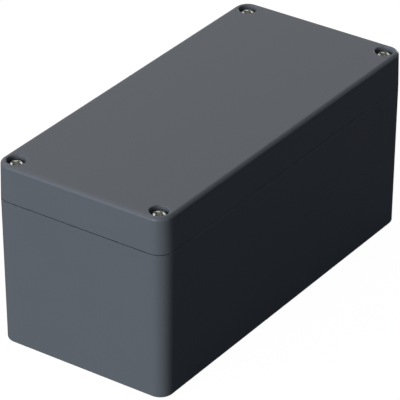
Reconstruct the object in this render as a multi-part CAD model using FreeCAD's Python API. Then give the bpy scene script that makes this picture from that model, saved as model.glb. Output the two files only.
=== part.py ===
"""Small glass-fibre polyester terminal enclosure, 160 x 75 x 75 mm.

A deep moulded base is closed by a lid on four captive screws. The screws and the wall fixing holes stand in
the corner blocks, outside the seal: a tongue on the base presses into a gasket in the lid's groove.

Frame: X along the length, Y along the width, +Z up. The origin is the middle of the base's back face, which is
what the enclosure stands on or is screwed to a wall by. Lengths are in millimetres and angles in degrees.
"""

import FreeCAD
import Part

import math
import os

# Outside of the closed enclosure, measured where lid and base meet
length = 160.0
width = 75.0
height = 75.0
lid_height = 15.0
corner_radius = 6.0
base_draft = 0.64
lid_draft = 1.13
lid_edge_radius = 1.5
base_edge_radius = 0.8
base_rim_radius = 0.1
lid_rim_radius = 0.3
rim_gap = 0.2

# Walls and the cavity
base_wall = 4.0
floor_thickness = 4.0
top_thickness = 3.2
core_draft = 0.7
cavity_corner_radius = 2.5
cavity_floor_radius = 1.5
lid_ceiling_radius = 1.0

# Corner blocks, with the wall fixing holes beside the lid screws
screw_inset = 6.0
fixing_offset = 9.0
fixing_inset = 6.0
fixing_channel_diameter = 7.6
fixing_hole_diameter = 4.5
fixing_seat_height = 8.0
block_land = 3.4
block_edge_radius = 6.5
lid_relief_depth = 6.0

# Seal
tongue_setback = 0.6
tongue_width = 1.4
tongue_height = 2.0
tongue_edge_radius = 0.3
groove_clearance = 0.5
skirt_thickness = 1.4
skirt_gap = 1.0
gasket_thickness = 2.5
gasket_side_play = 0.05
gasket_edge_radius = 0.3

# Lid screw, M4, with a neck that the retainer holds
thread_diameter = 3.96
thread_pitch = 0.7
thread_length = 7.0
release_turns = 12
neck_diameter = 2.9
shoulder_chamfer = 0.5
tip_chamfer = 0.6
head_diameter = 6.2
head_height = 2.4
head_flat_diameter = 4.3
head_crown = 1.0
head_crown_bulge = 0.1
head_below_top = 1.35
head_side_clearance = 0.55
pocket_mouth_radius = 0.4
recess_span = 4.1
recess_foot_span = 2.0
recess_wing_width = 1.2
recess_depth = 1.8
recess_core_diameter = 1.5
recess_core_foot = 1.0

# Ring under the screw head, and the retainer pressed into the lid
o_ring_height = 1.0
o_ring_section = 1.2
o_ring_play = 0.1
o_ring_edge_radius = 0.3
ledge_thickness = 1.5
ledge_play = 0.17
retainer_diameter = 6.0
retainer_thickness = 1.25
retainer_play = 0.15
retainer_stop_play = 0.1
seat_pad_width = 1.4

# Threaded inserts
insert_diameter = 6.0
insert_length = 8.0
insert_below_rim = 0.2
insert_bore_play = 0.07
insert_groove_depth = 0.35
insert_groove_share = 0.25
insert_chamfer = 0.4
tip_room = 1.5
tip_room_diameter = 4.4

# Bosses on the floor for a mounting plate or rail
boss_inset_x = 22.0
boss_inset_y = 15.0
boss_diameter = 9.2
boss_height = 6.0
boss_draft = 1.0
boss_edge_radius = 0.3
floor_insert_diameter = 5.6
floor_insert_length = 6.0
floor_thread_diameter = 3.3

# Levels, from the bottom up
parting = height - lid_height
rim = parting + rim_gap
skirt_end = parting + skirt_gap
tongue_top = parting + tongue_height
groove_floor = tongue_top + gasket_thickness
ceiling = height - top_thickness
boss_top = floor_thickness + boss_height
head_top = height - head_below_top
head_foot = head_top - head_height
pocket_floor = head_foot - o_ring_height
retainer_top = pocket_floor - ledge_thickness
retainer_foot = retainer_top - retainer_thickness
shoulder = retainer_foot - retainer_stop_play - release_turns * thread_pitch
screw_tip = shoulder - thread_length
insert_top = parting - insert_below_rim
insert_foot = insert_top - insert_length

# Places and sizes in plan
screw_x = length / 2 - screw_inset
screw_y = width / 2 - screw_inset
fixing_x = length / 2 - fixing_inset
fixing_y = screw_y - fixing_offset
boss_x = length / 2 - boss_inset_x
boss_y = width / 2 - boss_inset_y
pocket_diameter = head_diameter + 2 * head_side_clearance
cavity_end = length / 2 - base_wall
cavity_side = width / 2 - base_wall
block_face_x = fixing_x - fixing_channel_diameter / 2 - block_land
block_face_y = fixing_y - fixing_channel_diameter / 2 - block_land
groove_inner = tongue_setback - groove_clearance
groove_outer = tongue_setback + tongue_width + groove_clearance
skirt_inner = groove_inner - skirt_thickness

least_radius = 0.2
overrun = 1.0

corners = {
    "front_left": (-1, -1),
    "front_right": (1, -1),
    "rear_left": (-1, 1),
    "rear_right": (1, 1),
}


def lean(rise, draft):
    """How far a face with this draft moves sideways over a rise."""
    return rise * math.tan(math.radians(draft))


def rounded_outline(points, z):
    """A closed wire of straight runs and tangent arcs through (x, y, radius) corners, at height z."""
    places = [FreeCAD.Vector(x, y, z) for x, y, _ in points]
    arcs = []
    for i, (_, _, radius) in enumerate(points):
        corner = places[i]
        back = (places[i - 1] - corner).normalize()
        ahead = (places[(i + 1) % len(points)] - corner).normalize()
        half = back.getAngle(ahead) / 2
        run = radius / math.tan(half)
        middle = (back + ahead).normalize() * (radius / math.sin(half) - radius)
        arcs.append((corner + back * run, corner + middle, corner + ahead * run))
    edges = []
    for i, (start, middle, end) in enumerate(arcs):
        edges.append(Part.Arc(start, middle, end).toShape())
        edges.append(Part.LineSegment(end, arcs[(i + 1) % len(arcs)][0]).toShape())
    return Part.Wire(Part.__sortEdges__(edges))


def outer_outline(inset, z):
    """The enclosure's outside, moved in by inset."""
    x = length / 2 - inset
    y = width / 2 - inset
    radius = max(corner_radius - inset, least_radius)
    signs = ((1, 1), (-1, 1), (-1, -1), (1, -1))
    return rounded_outline([(sx * x, sy * y, radius) for sx, sy in signs], z)


def cavity_outline(growth, z):
    """The cavity between the four corner blocks, moved outwards by growth. Seal parts follow the same line."""
    hollow = max(cavity_corner_radius + growth, least_radius)
    room = min(cavity_end - block_face_x, cavity_side - block_face_y) - cavity_corner_radius - least_radius
    block = max(min(block_edge_radius, room) - growth, least_radius)
    end, side = cavity_end + growth, cavity_side + growth
    face_x, face_y = block_face_x + growth, block_face_y + growth
    quarter = [(end, face_y, hollow), (face_x, face_y, block), (face_x, side, hollow)]
    points = []
    for sx, sy in ((1, 1), (-1, 1), (-1, -1), (1, -1)):
        turned = [(sx * x, sy * y, radius) for x, y, radius in quarter]
        points += turned if sx * sy > 0 else turned[::-1]
    return rounded_outline(points, z)


def loft(low, high):
    """A solid with straight sides between two like outlines."""
    return Part.makeLoft([low, high], True, True)


def prism(outline, rise):
    return Part.Face(outline).extrude(FreeCAD.Vector(0, 0, rise))


def seal_ring(inner, outer, z, top):
    """A ring that follows the cavity, between two growths of its outline."""
    return prism(cavity_outline(outer, z), top - z).cut(prism(cavity_outline(inner, z), top - z))


def revolved(profile, x=0.0, y=0.0):
    """A solid of revolution about the upright axis at x, y. A profile step of three numbers is (radius, z, arc
    middle), where the arc middle is a point that the rounded step from the last point passes through."""
    edges = []
    steps = profile + [profile[0]]
    for last, step in zip(steps, steps[1:]):
        start = FreeCAD.Vector(last[0], 0, last[1])
        end = FreeCAD.Vector(step[0], 0, step[1])
        if len(step) == 3:
            middle = FreeCAD.Vector(step[2][0], 0, step[2][1])
            edges.append(Part.Arc(start, middle, end).toShape())
        else:
            edges.append(Part.LineSegment(start, end).toShape())
    face = Part.Face(Part.Wire(edges))
    solid = face.revolve(FreeCAD.Vector(0, 0, 0), FreeCAD.Vector(0, 0, 1), 360)
    solid.translate(FreeCAD.Vector(x, y, 0))
    return solid


def bore(diameter, low, high, x, y):
    return Part.makeCylinder(diameter / 2, high - low, FreeCAD.Vector(x, y, low))


def edges_at(shape, z):
    """The edges that lie wholly in the plane at height z."""
    def flat(edge):
        box = edge.BoundBox
        return abs(box.ZMin - z) < 1e-4 and abs(box.ZMax - z) < 1e-4
    return [edge for edge in shape.Edges if flat(edge)]


def rounded_at(shape, radius, *levels):
    """The shape with its edges at these heights rounded."""
    chosen = [edge for z in levels for edge in edges_at(shape, z)]
    return shape.makeFillet(radius, chosen)


def at_corners(x, y):
    return [(sx * x, sy * y) for sx, sy in corners.values()]


def insert_body(diameter, foot, top, x, y):
    """The outside of a moulded-in insert: two bands with a groove between, which the plastic fills."""
    radius = diameter / 2
    waist = radius - insert_groove_depth
    band = (top - foot) * (1 - insert_groove_share) / 2
    profile = [
        (0, foot),
        (radius - insert_chamfer, foot),
        (radius, foot + insert_chamfer),
        (radius, foot + band),
        (waist, foot + band + insert_groove_depth),
        (waist, top - band - insert_groove_depth),
        (radius, top - band),
        (radius, top),
        (0, top),
    ]
    return revolved(profile, x, y)


def lid_screw_insert(x, y):
    body = insert_body(insert_diameter, insert_foot, insert_top, x, y)
    opening = thread_diameter + 2 * insert_bore_play
    return body.cut(bore(opening, insert_foot, insert_top, x, y))


def floor_insert(x, y):
    foot = boss_top - floor_insert_length
    body = insert_body(floor_insert_diameter, foot, boss_top, x, y)
    return body.cut(bore(floor_thread_diameter, foot, boss_top, x, y))


def fixing_cutter(x, y):
    """The channel for a wall screw and its head, with the through hole at its foot."""
    hole = fixing_hole_diameter / 2
    channel = fixing_channel_diameter / 2
    profile = [
        (0, -overrun),
        (hole, -overrun),
        (hole, fixing_seat_height),
        (channel, fixing_seat_height),
        (channel, parting + overrun),
        (0, parting + overrun),
    ]
    return revolved(profile, x, y)


def insert_seat(x, y):
    """Room for the lid screw's insert, and below it for the screw's tip."""
    seat = insert_body(insert_diameter, insert_foot, insert_top, x, y)
    mouth = bore(insert_diameter, insert_top, parting + overrun, x, y)
    foot = min(insert_foot, screw_tip) - tip_room
    return seat.fuse([mouth, bore(tip_room_diameter, foot, insert_foot, x, y)])


def floor_boss(x, y):
    foot = boss_diameter / 2 + lean(boss_height, boss_draft)
    start = FreeCAD.Vector(x, y, floor_thickness - overrun)
    post = Part.makeCone(foot + lean(overrun, boss_draft), boss_diameter / 2, boss_height + overrun, start)
    return rounded_at(post, boss_edge_radius, boss_top)


def base():
    shell = loft(outer_outline(lean(parting, base_draft), 0), outer_outline(0, parting))
    shell = rounded_at(shell, base_edge_radius, 0)
    shell = rounded_at(shell, base_rim_radius, parting)
    drop = parting - floor_thickness
    cavity = loft(cavity_outline(-lean(drop, core_draft), floor_thickness), cavity_outline(0, parting))
    cavity = rounded_at(cavity, cavity_floor_radius, floor_thickness)
    tongue = seal_ring(tongue_setback, tongue_setback + tongue_width, parting, tongue_top)
    tongue = rounded_at(tongue, tongue_edge_radius, tongue_top)
    bosses = [floor_boss(x, y) for x, y in at_corners(boss_x, boss_y)]
    body = shell.cut(cavity).fuse([tongue] + bosses)
    foot = boss_top - floor_insert_length
    cutters = [fixing_cutter(x, y) for x, y in at_corners(fixing_x, fixing_y)]
    cutters += [insert_seat(x, y) for x, y in at_corners(screw_x, screw_y)]
    cutters += [insert_body(floor_insert_diameter, foot, boss_top, x, y) for x, y in at_corners(boss_x, boss_y)]
    return body.cut(cutters).removeSplitter()


def screw_pocket(x, y):
    """The counterbore over a screw head, with a softened mouth, and the bores below it."""
    radius = pocket_diameter / 2
    mouth = radius + pocket_mouth_radius
    bend = pocket_mouth_radius * (1 - math.sqrt(0.5))
    ledge = thread_diameter / 2 + ledge_play
    wide = retainer_diameter / 2
    profile = [
        (0, parting - overrun),
        (wide, parting - overrun),
        (wide, retainer_top),
        (ledge, retainer_top),
        (ledge, pocket_floor),
        (radius, pocket_floor),
        (radius, height - pocket_mouth_radius),
        (mouth, height, (radius + bend, height - bend)),
        (mouth, height + overrun),
        (0, height + overrun),
    ]
    return revolved(profile, x, y)


def seat_pad(x, y):
    """The ring under the lid that bears on the corner block round each screw."""
    outside = retainer_diameter + 2 * seat_pad_width
    return bore(outside, parting, rim + overrun, x, y)


def lid():
    shell = loft(outer_outline(0, rim), outer_outline(lean(height - rim, lid_draft), height))
    shell = rounded_at(shell, lid_edge_radius, height)
    shell = rounded_at(shell, lid_rim_radius, rim)
    rise = ceiling - rim
    hollow = loft(cavity_outline(skirt_inner, rim), cavity_outline(skirt_inner - lean(rise, core_draft), ceiling))
    hollow = rounded_at(hollow, min(lid_ceiling_radius, cavity_corner_radius / 2), ceiling)
    groove = seal_ring(groove_inner, groove_outer, rim - overrun, groove_floor)
    skirt_trim = prism(cavity_outline(groove_inner, rim - overrun), skirt_end - rim + overrun)
    pads = [seat_pad(x, y) for x, y in at_corners(screw_x, screw_y)]
    body = shell.cut([hollow, groove, skirt_trim]).fuse(pads)
    cutters = [screw_pocket(x, y) for x, y in at_corners(screw_x, screw_y)]
    cutters += [
        bore(fixing_channel_diameter, rim - overrun, rim + lid_relief_depth, x, y)
        for x, y in at_corners(fixing_x, fixing_y)
    ]
    return body.cut(cutters).removeSplitter()


def gasket():
    ring = seal_ring(groove_inner + gasket_side_play, groove_outer - gasket_side_play, tongue_top, groove_floor)
    return rounded_at(ring, gasket_edge_radius, tongue_top)


def retainer(x, y):
    """The nylon ring in the lid that the thread's shoulder can't pass."""
    ring = bore(retainer_diameter, retainer_foot, retainer_top, x, y)
    return ring.cut(bore(neck_diameter + 2 * retainer_play, retainer_foot, retainer_top, x, y))


def o_ring(x, y):
    """The rubber ring on the screw's neck, pressed flat between the head and the pocket's floor."""
    inner = neck_diameter / 2 + o_ring_play
    ring = bore(2 * (inner + o_ring_section), pocket_floor, head_foot, x, y)
    ring = ring.cut(bore(2 * inner, pocket_floor, head_foot, x, y))
    return rounded_at(ring, o_ring_edge_radius, pocket_floor, head_foot)


def driver_recess(x, y):
    """A cross recess: two tapered wings at right angles and a conical core, open at the head's top."""
    foot = head_top - recess_depth
    depth_share = recess_depth + overrun
    spread = (recess_span - recess_foot_span) / 2 / recess_depth
    top_span = recess_foot_span / 2 + spread * depth_share
    wing = Part.Face(Part.makePolygon([
        FreeCAD.Vector(-recess_foot_span / 2, -recess_wing_width / 2, foot),
        FreeCAD.Vector(recess_foot_span / 2, -recess_wing_width / 2, foot),
        FreeCAD.Vector(top_span, -recess_wing_width / 2, head_top + overrun),
        FreeCAD.Vector(-top_span, -recess_wing_width / 2, head_top + overrun),
        FreeCAD.Vector(-recess_foot_span / 2, -recess_wing_width / 2, foot),
    ])).extrude(FreeCAD.Vector(0, recess_wing_width, 0))
    across = wing.copy()
    across.rotate(FreeCAD.Vector(0, 0, 0), FreeCAD.Vector(0, 0, 1), 90)
    core_spread = (recess_core_diameter - recess_core_foot) / 2 / recess_depth
    core_top = recess_core_foot / 2 + core_spread * depth_share
    core = Part.makeCone(recess_core_foot / 2, core_top, depth_share, FreeCAD.Vector(0, 0, foot))
    recess = wing.fuse([across, core])
    recess.translate(FreeCAD.Vector(x, y, 0))
    return recess


def lid_screw(x, y):
    """Head, neck and thread in one turned piece. The thread is its outer cylinder."""
    head, flat = head_diameter / 2, head_flat_diameter / 2
    neck, thread = neck_diameter / 2, thread_diameter / 2
    edge = head_top - head_crown
    bevel = math.hypot(head - flat, head_crown)
    crown = (
        (head + flat) / 2 + head_crown_bulge * head_crown / bevel,
        (edge + head_top) / 2 + head_crown_bulge * (head - flat) / bevel,
    )
    profile = [
        (0, screw_tip),
        (thread - tip_chamfer, screw_tip),
        (thread, screw_tip + tip_chamfer),
        (thread, shoulder - shoulder_chamfer),
        (neck, shoulder),
        (neck, head_foot),
        (head, head_foot),
        (head, edge),
        (flat, head_top, crown),
        (0, head_top),
    ]
    return revolved(profile, x, y).cut(driver_recess(x, y))


def pieces():
    """Every piece of the enclosure by its name."""
    made = {"base": base(), "lid": lid(), "gasket": gasket()}
    for name, (sx, sy) in corners.items():
        x, y = sx * screw_x, sy * screw_y
        made["lid_screw_" + name] = lid_screw(x, y)
        made["screw_o_ring_" + name] = o_ring(x, y)
        made["screw_retainer_" + name] = retainer(x, y)
        made["lid_screw_insert_" + name] = lid_screw_insert(x, y)
        made["floor_insert_" + name] = floor_insert(sx * boss_x, sy * boss_y)
    return made


os.makedirs("parts", exist_ok=True)
for name, shape in pieces().items():
    if not shape.isValid() or len(shape.Solids) != 1:
        raise ValueError(name + " isn't one valid solid")
    shape.Solids[0].exportStep("parts/" + name + ".step")
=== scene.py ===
"""The look of a small glass-fibre polyester enclosure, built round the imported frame.

Metres, in the frame's own axes: X along the box, Y across it, Z up through the lid.
"""

import bpy
import bmesh
import math
from mathutils import Matrix, Vector


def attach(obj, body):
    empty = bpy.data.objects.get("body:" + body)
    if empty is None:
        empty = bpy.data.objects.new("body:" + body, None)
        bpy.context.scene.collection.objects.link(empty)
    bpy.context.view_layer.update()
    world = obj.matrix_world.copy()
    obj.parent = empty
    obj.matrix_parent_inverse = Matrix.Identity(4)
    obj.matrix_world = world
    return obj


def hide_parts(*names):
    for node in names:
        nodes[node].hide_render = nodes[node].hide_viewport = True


MM = 0.001
CORNERS = ("front_left", "front_right", "rear_left", "rear_right")

# Camera, fitted to the photo's edges: its turns are in degrees, its lens and sensor in millimetres
AIM = Vector((0, 0, 0.0375))
YAW, PITCH, ROLL = 55.132, 30.03, 0.06
DISTANCE = 1.14755
PAN_RIGHT, PAN_UP = 0.002265, 0.00329
LENS, SENSOR = 274.0, 36.0
CLIP_NEAR, CLIP_FAR = 0.05, 20

# Sky, and the lamps: name, direction towards the lamp, strength, colour, angle in degrees
SKY = (0.096, 0.109, 0.143)
SUNS = (
    ("key_left", (-1.0, 0.02, 0.24), 2.86, (0.944, 1.0, 0.927), 26),
    ("fill_left_back", (-1.0, 0.5, 0.35), 1.19, (0.655, 0.69, 1.0), 26),
    ("key_above", (-0.05, 0.90, 1.0), 0.65, (1.0, 0.85, 0.65), 25),
    ("rim_back", (0.6, 0.7, 0.85), 0.40, (0.84, 0.91, 1.0), 25),
    ("fill_right", (1.0, 0.25, 0.01), 0.6, (0.92, 0.96, 1.0), 12),
    ("fill_under", (0.5, 0.7, -1.0), 0.6, (0.92, 0.96, 1.0), 26),
)

# Floor: half its side, its tiles, how far under the object it lies, and how short a ray still touches it
FLOOR_REACH = 3.0
FLOOR_TILES = 8
FLOOR_DROP = 0.05 * MM
FLOOR_TOUCH = 0.3 * MM
# Its colour to the camera, the share and strength of plain white over that, and its colour to the object
FLOOR_PALE = (0.85, 0.85, 0.85)
FLOOR_WHITE = 0.93
FLOOR_GLOW = 1.05
FLOOR_BOUNCE = (0.10, 0.105, 0.115)

# Threads of the lid screws and the inserts, all M4: pitch, sides round, and spare turns at each end
THREAD_PITCH = 0.7 * MM
AROUND = 64
SPARE_TURNS = 2
# One pitch of thread from root to root: share of the pitch, share of the thread's height
THREAD_PROFILE = ((0, 0), (0.10, 0), (0.265, 0.5), (0.43, 1), (0.57, 1), (0.735, 0.5), (0.90, 0))

# Shank of the lid screws: the seam is where it meets the CAD screw's neck, that far over the thread
THREAD_RADIUS = 1.98 * MM
THREAD_DEPTH = 0.40 * MM
THREAD_LENGTH = 7.0 * MM
TIP_CHAMFER = 0.6 * MM
SHOULDER_CHAMFER = 0.5 * MM
NECK_RADIUS = 1.45 * MM
NECK_SEAM = 2.0 * MM

# Driver recess of the lid screws, whose faces get steel darkened as painted shade: reach from the axis, and
# both levels below the head's top
RECESS_REACH = 2.4 * MM
RECESS_DEPTH = 1.9 * MM
RECESS_LIP = 0.03 * MM

# Inserts: radius of each plain bore, how much wider its wall may be, groove depth, chamfer at each end
LID_INSERT_BORE = 2.05 * MM
FLOOR_INSERT_BORE = 1.65 * MM
BORE_MARGIN = 0.03 * MM
INSERT_GROOVE = 0.32 * MM
BORE_CHAMFER = 0.25 * MM

# Cleaning of dressed meshes: points nearer than this are one, shorter edges go, flatter edges are smooth
WELD = 0.0002 * MM
SLIVER = 0.0001 * MM
SMOOTH_ANGLE = 35

# Sockets of the colour Mix node, whose names are not unique
MIX_SHARE, MIX_FIRST, MIX_SECOND, MIX_RESULT = 0, 6, 7, 2

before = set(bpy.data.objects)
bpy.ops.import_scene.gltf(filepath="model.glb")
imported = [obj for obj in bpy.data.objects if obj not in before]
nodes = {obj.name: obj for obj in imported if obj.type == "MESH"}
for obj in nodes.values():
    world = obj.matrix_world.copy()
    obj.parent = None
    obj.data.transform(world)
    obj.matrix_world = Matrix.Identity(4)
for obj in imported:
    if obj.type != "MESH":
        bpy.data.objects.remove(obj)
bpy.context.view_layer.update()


# Shader nodes

def new_material(name):
    """A material, its node tree and its Principled shader."""
    material = bpy.data.materials.new(name)
    material.use_nodes = True
    return material, material.node_tree, material.node_tree.nodes["Principled BSDF"]


def add(tree, kind, **inputs):
    """A node with numbers set on its inputs: To_Min stands for the input To Min."""
    node = tree.nodes.new(kind)
    for key, value in inputs.items():
        node.inputs[key.replace("_", " ")].default_value = value
    return node


def object_place(tree):
    """Places on the object itself, so that a pattern moves with it."""
    return tree.nodes.new("ShaderNodeTexCoord").outputs["Object"]


def noise(tree, place, scale, detail, rough):
    """A soft pattern of values from 0 to 1."""
    node = add(tree, "ShaderNodeTexNoise", Scale=scale, Detail=detail, Roughness=rough)
    tree.links.new(place, node.inputs["Vector"])
    return node.outputs["Fac"]


def ramp(tree, source, low, high):
    """Maps a 0 to 1 value onto a range."""
    node = add(tree, "ShaderNodeMapRange", To_Min=low, To_Max=high)
    tree.links.new(source, node.inputs["Value"])
    return node.outputs["Result"]


def mix_colours(tree, source, first, second):
    """The first colour where the source is 0, the second where it is 1."""
    node = tree.nodes.new("ShaderNodeMix")
    node.data_type = "RGBA"
    node.inputs[MIX_FIRST].default_value = (*first, 1)
    node.inputs[MIX_SECOND].default_value = (*second, 1)
    tree.links.new(source, node.inputs[MIX_SHARE])
    return node.outputs[MIX_RESULT]


def mix_shaders(tree, source, first, second):
    """The first shader where the source is 0, the second where it is 1."""
    node = tree.nodes.new("ShaderNodeMixShader")
    tree.links.new(source, node.inputs[0])
    tree.links.new(first.outputs[0], node.inputs[1])
    tree.links.new(second.outputs[0], node.inputs[2])
    return node


def calculate(tree, operation, source, other):
    """A source worked out with another source or with a number."""
    node = tree.nodes.new("ShaderNodeMath")
    node.operation = operation
    tree.links.new(source, node.inputs[0])
    if isinstance(other, float):
        node.inputs[1].default_value = other
    else:
        tree.links.new(other, node.inputs[1])
    return node.outputs[0]


def any_of(tree, first, *others):
    """1 where any of the sources is 1."""
    for other in others:
        first = calculate(tree, "MAXIMUM", first, other)
    return first


def vary(tree, shader, source, dark, light, roughness):
    """Colour and roughness that both follow one source."""
    tree.links.new(mix_colours(tree, source, dark, light), shader.inputs["Base Color"])
    tree.links.new(ramp(tree, source, *roughness), shader.inputs["Roughness"])


def bump(tree, shader, heights):
    """Stacks bumps of (height source, distance in metres, strength) onto a shader."""
    last = None
    for source, distance, strength in heights:
        node = add(tree, "ShaderNodeBump", Distance=distance, Strength=strength)
        tree.links.new(source, node.inputs["Height"])
        if last:
            tree.links.new(last, node.inputs["Normal"])
        last = node.outputs["Normal"]
    tree.links.new(last, shader.inputs["Normal"])


# Materials

def moulding_material():
    """Dark grey glass-fibre polyester: a satin skin with faint flow clouds and a very fine grain."""
    material, tree, shader = new_material("dark_grey_polyester")
    place = object_place(tree)
    clouds = noise(tree, place, 38, 3, 0.55)
    grain = noise(tree, place, 2600, 2, 0.6)
    vary(tree, shader, clouds, (0.0875, 0.0955, 0.1085), (0.0935, 0.1015, 0.1150), (0.37, 0.43))
    shader.inputs["Specular IOR Level"].default_value = 0.18
    bump(tree, shader, [(grain, 0.02 * MM, 0.18)])
    return material


def turned_metal(name, smudge_scale, scratch_scale, dark, light, roughness):
    """A turned metal with a slightly uneven polish and very fine scratches."""
    material, tree, shader = new_material(name)
    place = object_place(tree)
    smudges = noise(tree, place, smudge_scale, 3, 0.6)
    scratches = noise(tree, place, scratch_scale, 2, 0.5)
    shader.inputs["Metallic"].default_value = 1.0
    vary(tree, shader, smudges, dark, light, roughness)
    bump(tree, shader, [(scratches, 0.01 * MM, 0.25)])
    return material


def steel_material():
    """Plain stainless steel."""
    return turned_metal("turned_steel", 900, 5200, (0.34, 0.34, 0.326), (0.455, 0.455, 0.44), (0.24, 0.36))


def brass_material():
    """Plain brass, lightly tarnished."""
    return turned_metal("turned_brass", 700, 4200, (0.62, 0.43, 0.17), (0.76, 0.56, 0.27), (0.22, 0.38))


def recess_shade_material():
    """The steel inside a driver recess, darkened and dulled as painted shade."""
    material, tree, shader = new_material("recess_steel_painted_shade")
    shade_patches = noise(tree, object_place(tree), 1400, 3, 0.6)
    shader.inputs["Metallic"].default_value = 1.0
    # Painted shade: dark olive steel, patchy, standing in for the shade that falls inside the recess
    vary(tree, shader, shade_patches, (0.075, 0.078, 0.055), (0.21, 0.213, 0.175), (0.40, 0.55))
    bump(tree, shader, [(shade_patches, 0.02 * MM, 0.3)])
    return material


def gasket_material():
    """Black closed-cell rubber, with its fine cells as pits."""
    material, tree, shader = new_material("cellular_rubber")
    place = object_place(tree)
    cells = add(tree, "ShaderNodeTexVoronoi", Scale=2600)
    tree.links.new(place, cells.inputs["Vector"])
    clouds = noise(tree, place, 300, 3, 0.6)
    vary(tree, shader, clouds, (0.014, 0.014, 0.015), (0.024, 0.024, 0.025), (0.78, 0.9))
    shader.inputs["Specular IOR Level"].default_value = 0.3
    bump(tree, shader, [(cells.outputs["Distance"], 0.1 * MM, 0.5), (clouds, 0.1 * MM, 0.2)])
    return material


def ring_material():
    """Smooth black rubber with a faint bloom."""
    material, tree, shader = new_material("smooth_black_rubber")
    bloom = noise(tree, object_place(tree), 1500, 3, 0.6)
    vary(tree, shader, bloom, (0.012, 0.012, 0.012), (0.022, 0.022, 0.023), (0.42, 0.58))
    bump(tree, shader, [(bloom, 0.02 * MM, 0.2)])
    return material


def nylon_material():
    """Natural nylon, slightly clouded, with light passing a little way in."""
    material, tree, shader = new_material("natural_nylon")
    clouds = noise(tree, object_place(tree), 900, 2, 0.5)
    vary(tree, shader, clouds, (0.70, 0.67, 0.58), (0.78, 0.75, 0.67), (0.38, 0.5))
    shader.inputs["Subsurface Weight"].default_value = 0.25
    shader.inputs["Subsurface Radius"].default_value = (1.0 * MM, 0.9 * MM, 0.7 * MM)
    shader.inputs["Subsurface Scale"].default_value = 0.5
    bump(tree, shader, [(clouds, 0.03 * MM, 0.2)])
    return material


def floor_material():
    """A pale floor, white to the camera, with little light thrown up at the dark sides.

    It is clear from below, to the lamps and to light that starts right on it, so the undersides show.
    """
    material, tree, shader = new_material("pale_floor")
    shader.inputs["Roughness"].default_value = 0.9
    shader.inputs["Specular IOR Level"].default_value = 0.0
    path = tree.nodes.new("ShaderNodeLightPath").outputs
    seen = any_of(tree, path["Is Camera Ray"], path["Is Transmission Ray"])
    tree.links.new(mix_colours(tree, seen, FLOOR_BOUNCE, FLOOR_PALE), shader.inputs["Base Color"])
    white = add(tree, "ShaderNodeEmission", Color=(1, 1, 1, 1), Strength=FLOOR_GLOW)
    surface = mix_shaders(tree, calculate(tree, "MULTIPLY", seen, FLOOR_WHITE), shader, white)
    below = tree.nodes.new("ShaderNodeNewGeometry").outputs["Backfacing"]
    touching = calculate(tree, "LESS_THAN", path["Ray Length"], FLOOR_TOUCH)
    clear = tree.nodes.new("ShaderNodeBsdfTransparent")
    surface = mix_shaders(tree, any_of(tree, path["Is Shadow Ray"], below, touching), surface, clear)
    tree.links.new(surface.outputs[0], tree.nodes["Material Output"].inputs["Surface"])
    return material


# Threads

def threaded_wall(bm, low, high, radius_at):
    """A threaded wall about the Z axis from low to high. radius_at(z, height) gives its radius.

    Its rows climb one pitch in each round. The spare ones meet on the ends, and finish_piece welds them.
    """
    turns = range(-SPARE_TURNS, int((high - low) / THREAD_PITCH) + 1 + SPARE_TURNS)
    rows = [((turn + share) * THREAD_PITCH, height) for turn in turns for share, height in THREAD_PROFILE]
    columns = []
    for j in range(AROUND):
        lead = THREAD_PITCH * j / AROUND
        angle = 2 * math.pi * j / AROUND
        column = []
        for offset, height in rows:
            z = min(max(low + offset + lead, low), high)
            radius = radius_at(z, height)
            column.append(bm.verts.new((radius * math.cos(angle), radius * math.sin(angle), z)))
        columns.append(column)
    for j in range(AROUND):
        here, there = columns[j], columns[(j + 1) % AROUND]
        shift = len(THREAD_PROFILE) if j == AROUND - 1 else 0
        for k in range(len(rows) - 1 - shift):
            bm.faces.new((here[k], there[k + shift], there[k + 1 + shift], here[k + 1]))


def ring(bm, radius, z):
    """A round of points about the Z axis."""
    angles = [2 * math.pi * j / AROUND for j in range(AROUND)]
    return [bm.verts.new((radius * math.cos(angle), radius * math.sin(angle), z)) for angle in angles]


def bridge(bm, low, high):
    """A wall between two rounds of points."""
    for j in range(AROUND):
        k = (j + 1) % AROUND
        bm.faces.new((low[j], low[k], high[k], high[j]))


# Pieces that replace a CAD node

def node_mesh(node):
    """A copy of a CAD node's mesh about the node's own upright axis.

    With it come the axis's place and the node's lowest and highest level.
    """
    source = nodes[node]
    bm = bmesh.new()
    bm.from_mesh(source.data)
    bm.transform(source.matrix_world)
    low = Vector([min(vert.co[axis] for vert in bm.verts) for axis in range(3)])
    high = Vector([max(vert.co[axis] for vert in bm.verts) for axis in range(3)])
    centre = Vector(((low.x + high.x) / 2, (low.y + high.y) / 2, 0))
    bmesh.ops.translate(bm, verts=bm.verts, vec=-centre)
    return bm, centre, low.z, high.z


def finish_piece(bm, node, body, centre, materials):
    """Cleans a mesh and makes it the piece that replaces a CAD node."""
    bmesh.ops.remove_doubles(bm, verts=bm.verts, dist=WELD)
    bmesh.ops.dissolve_degenerate(bm, edges=bm.edges, dist=SLIVER)
    bmesh.ops.translate(bm, verts=bm.verts, vec=centre)
    mesh = bpy.data.meshes.new(node + "_dressed")
    bm.to_mesh(mesh)
    bm.free()
    for material in materials:
        mesh.materials.append(material)
    mesh.polygons.foreach_set("use_smooth", [True] * len(mesh.polygons))
    mesh.set_sharp_from_angle(angle=math.radians(SMOOTH_ANGLE))
    piece = bpy.data.objects.new(node + "_dressed", mesh)
    bpy.context.scene.collection.objects.link(piece)
    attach(piece, body)
    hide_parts(node)


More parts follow.
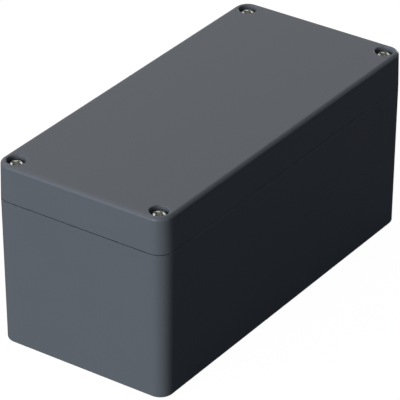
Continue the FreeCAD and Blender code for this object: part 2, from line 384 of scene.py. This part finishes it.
def add_shank(bm, tip, seam):
    """The screw's threaded end and neck, from the tip up to the seam with the head's part."""
    shoulder = tip + THREAD_LENGTH

    def radius_at(z, height):
        cut = THREAD_RADIUS - THREAD_DEPTH * (1 - height)
        tip_cone = THREAD_RADIUS - TIP_CHAMFER + (z - tip)
        rise = (THREAD_RADIUS - NECK_RADIUS) / SHOULDER_CHAMFER
        shoulder_cone = NECK_RADIUS + (shoulder - z) * rise
        return min(cut, tip_cone, shoulder_cone)

    threaded_wall(bm, tip, shoulder, radius_at)
    tip_radius = THREAD_RADIUS - max(TIP_CHAMFER, THREAD_DEPTH)
    bm.faces.new(reversed(ring(bm, tip_radius, tip)))
    bridge(bm, ring(bm, NECK_RADIUS, shoulder), ring(bm, NECK_RADIUS, seam))


def make_screw(corner, steel, painted_shade_steel):
    """A lid screw: the CAD screw's head and neck, with a threaded shank and a driver recess darkened as
    painted shade.
    """
    node = "lid_screw_" + corner
    bm, centre, tip, top = node_mesh(node)
    seam = tip + THREAD_LENGTH + NECK_SEAM
    everything = bm.verts[:] + bm.edges[:] + bm.faces[:]
    bmesh.ops.bisect_plane(bm, geom=everything, plane_co=(0, 0, seam), plane_no=(0, 0, 1), clear_inner=True)
    bm.normal_update()
    # Faces inside the driver recess take the second material, the steel darkened as painted shade
    for face in bm.faces:
        middle = face.calc_center_median()
        across = middle.to_2d()
        near = across.length < RECESS_REACH and top - RECESS_DEPTH < middle.z < top - RECESS_LIP
        inward = face.normal.to_2d().dot(across) <= 0
        face.material_index = 1 if near and inward else 0
    add_shank(bm, tip, seam)
    finish_piece(bm, node, "screw_" + corner, centre, (steel, painted_shade_steel))


def make_insert(node, bore, material):
    """An insert: the CAD insert's outside, with a threaded bore in place of its plain one."""
    bm, centre, foot, top = node_mesh(node)
    widest = bore + BORE_MARGIN
    plain = [face for face in bm.faces if max(vert.co.to_2d().length for vert in face.verts) < widest]
    bmesh.ops.delete(bm, geom=plain, context="FACES")

    def radius_at(z, height):
        room = min(z - foot, top - z) * INSERT_GROOVE / BORE_CHAMFER
        return bore + min(INSERT_GROOVE * (1 - height), room)

    threaded_wall(bm, foot, top, radius_at)
    bmesh.ops.recalc_face_normals(bm, faces=bm.faces)
    finish_piece(bm, node, "base", centre, (material,))


def dress(node, material):
    """Gives a CAD node its material."""
    mesh = nodes[node].data
    mesh.materials.clear()
    mesh.materials.append(material)


# Floor, light, camera

def make_floor(material):
    """A wide plane just under the object."""
    bm = bmesh.new()
    bmesh.ops.create_grid(bm, x_segments=FLOOR_TILES, y_segments=FLOOR_TILES, size=FLOOR_REACH)
    mesh = bpy.data.meshes.new("floor")
    bm.to_mesh(mesh)
    bm.free()
    mesh.materials.append(material)
    floor = bpy.data.objects.new("floor", mesh)
    floor.location = (0, 0, -FLOOR_DROP)
    bpy.context.scene.collection.objects.link(floor)


def make_world():
    """White to the camera, to gloss and through clear pieces, and a dim cool sky to everything else."""
    world = bpy.data.worlds.new("studio")
    world.use_nodes = True
    bpy.context.scene.world = world
    tree = world.node_tree
    path = tree.nodes.new("ShaderNodeLightPath").outputs
    seen = any_of(tree, path["Is Camera Ray"], path["Is Glossy Ray"], path["Is Transmission Ray"])
    background = tree.nodes["Background"]
    tree.links.new(mix_colours(tree, seen, SKY, (1, 1, 1)), background.inputs["Color"])
    background.inputs["Strength"].default_value = 1.0


def make_sun(name, source, strength, colour, angle):
    """A soft lamp far away in the direction of source."""
    lamp = bpy.data.lights.new(name, "SUN")
    lamp.energy = strength
    lamp.color = colour
    lamp.angle = math.radians(angle)
    sun = bpy.data.objects.new(name, lamp)
    sun.rotation_mode = "QUATERNION"
    sun.rotation_quaternion = Vector(source).to_track_quat("Z", "Y")
    bpy.context.scene.collection.objects.link(sun)


def make_camera():
    """The photo's camera: it looks at AIM from DISTANCE, and is then moved aside by both pans."""
    yaw, pitch, roll = map(math.radians, (YAW, PITCH, ROLL))
    back = Vector((-math.sin(yaw) * math.cos(pitch), -math.cos(yaw) * math.cos(pitch), math.sin(pitch)))
    level = Vector((0, 0, 1)).cross(back).normalized()
    upright = back.cross(level)
    right = level * math.cos(roll) + upright * math.sin(roll)
    up = upright * math.cos(roll) - level * math.sin(roll)
    place = AIM + back * DISTANCE - right * PAN_RIGHT - up * PAN_UP
    turn = Matrix((right, up, back)).transposed().to_4x4()
    data = bpy.data.cameras.new("camera")
    data.lens = LENS
    data.sensor_width = SENSOR
    data.clip_start = CLIP_NEAR
    data.clip_end = CLIP_FAR
    camera = bpy.data.objects.new("camera", data)
    camera.matrix_world = Matrix.Translation(place) @ turn
    bpy.context.scene.collection.objects.link(camera)
    bpy.context.scene.camera = camera


# Putting it together

moulding = moulding_material()
steel = steel_material()
# The second steel paints the shade inside the screws' driver recesses
painted_shade_steel = recess_shade_material()
brass = brass_material()
rubber = ring_material()
nylon = nylon_material()
dress("base", moulding)
dress("lid", moulding)
dress("gasket", gasket_material())
for corner in CORNERS:
    dress("screw_o_ring_" + corner, rubber)
    dress("screw_retainer_" + corner, nylon)
    make_screw(corner, steel, painted_shade_steel)
    make_insert("lid_screw_insert_" + corner, LID_INSERT_BORE, brass)
    make_insert("floor_insert_" + corner, FLOOR_INSERT_BORE, brass)

make_floor(floor_material())
make_world()
for sun in SUNS:
    make_sun(*sun)
make_camera()
bpy.context.scene.view_settings.view_transform = "Standard"
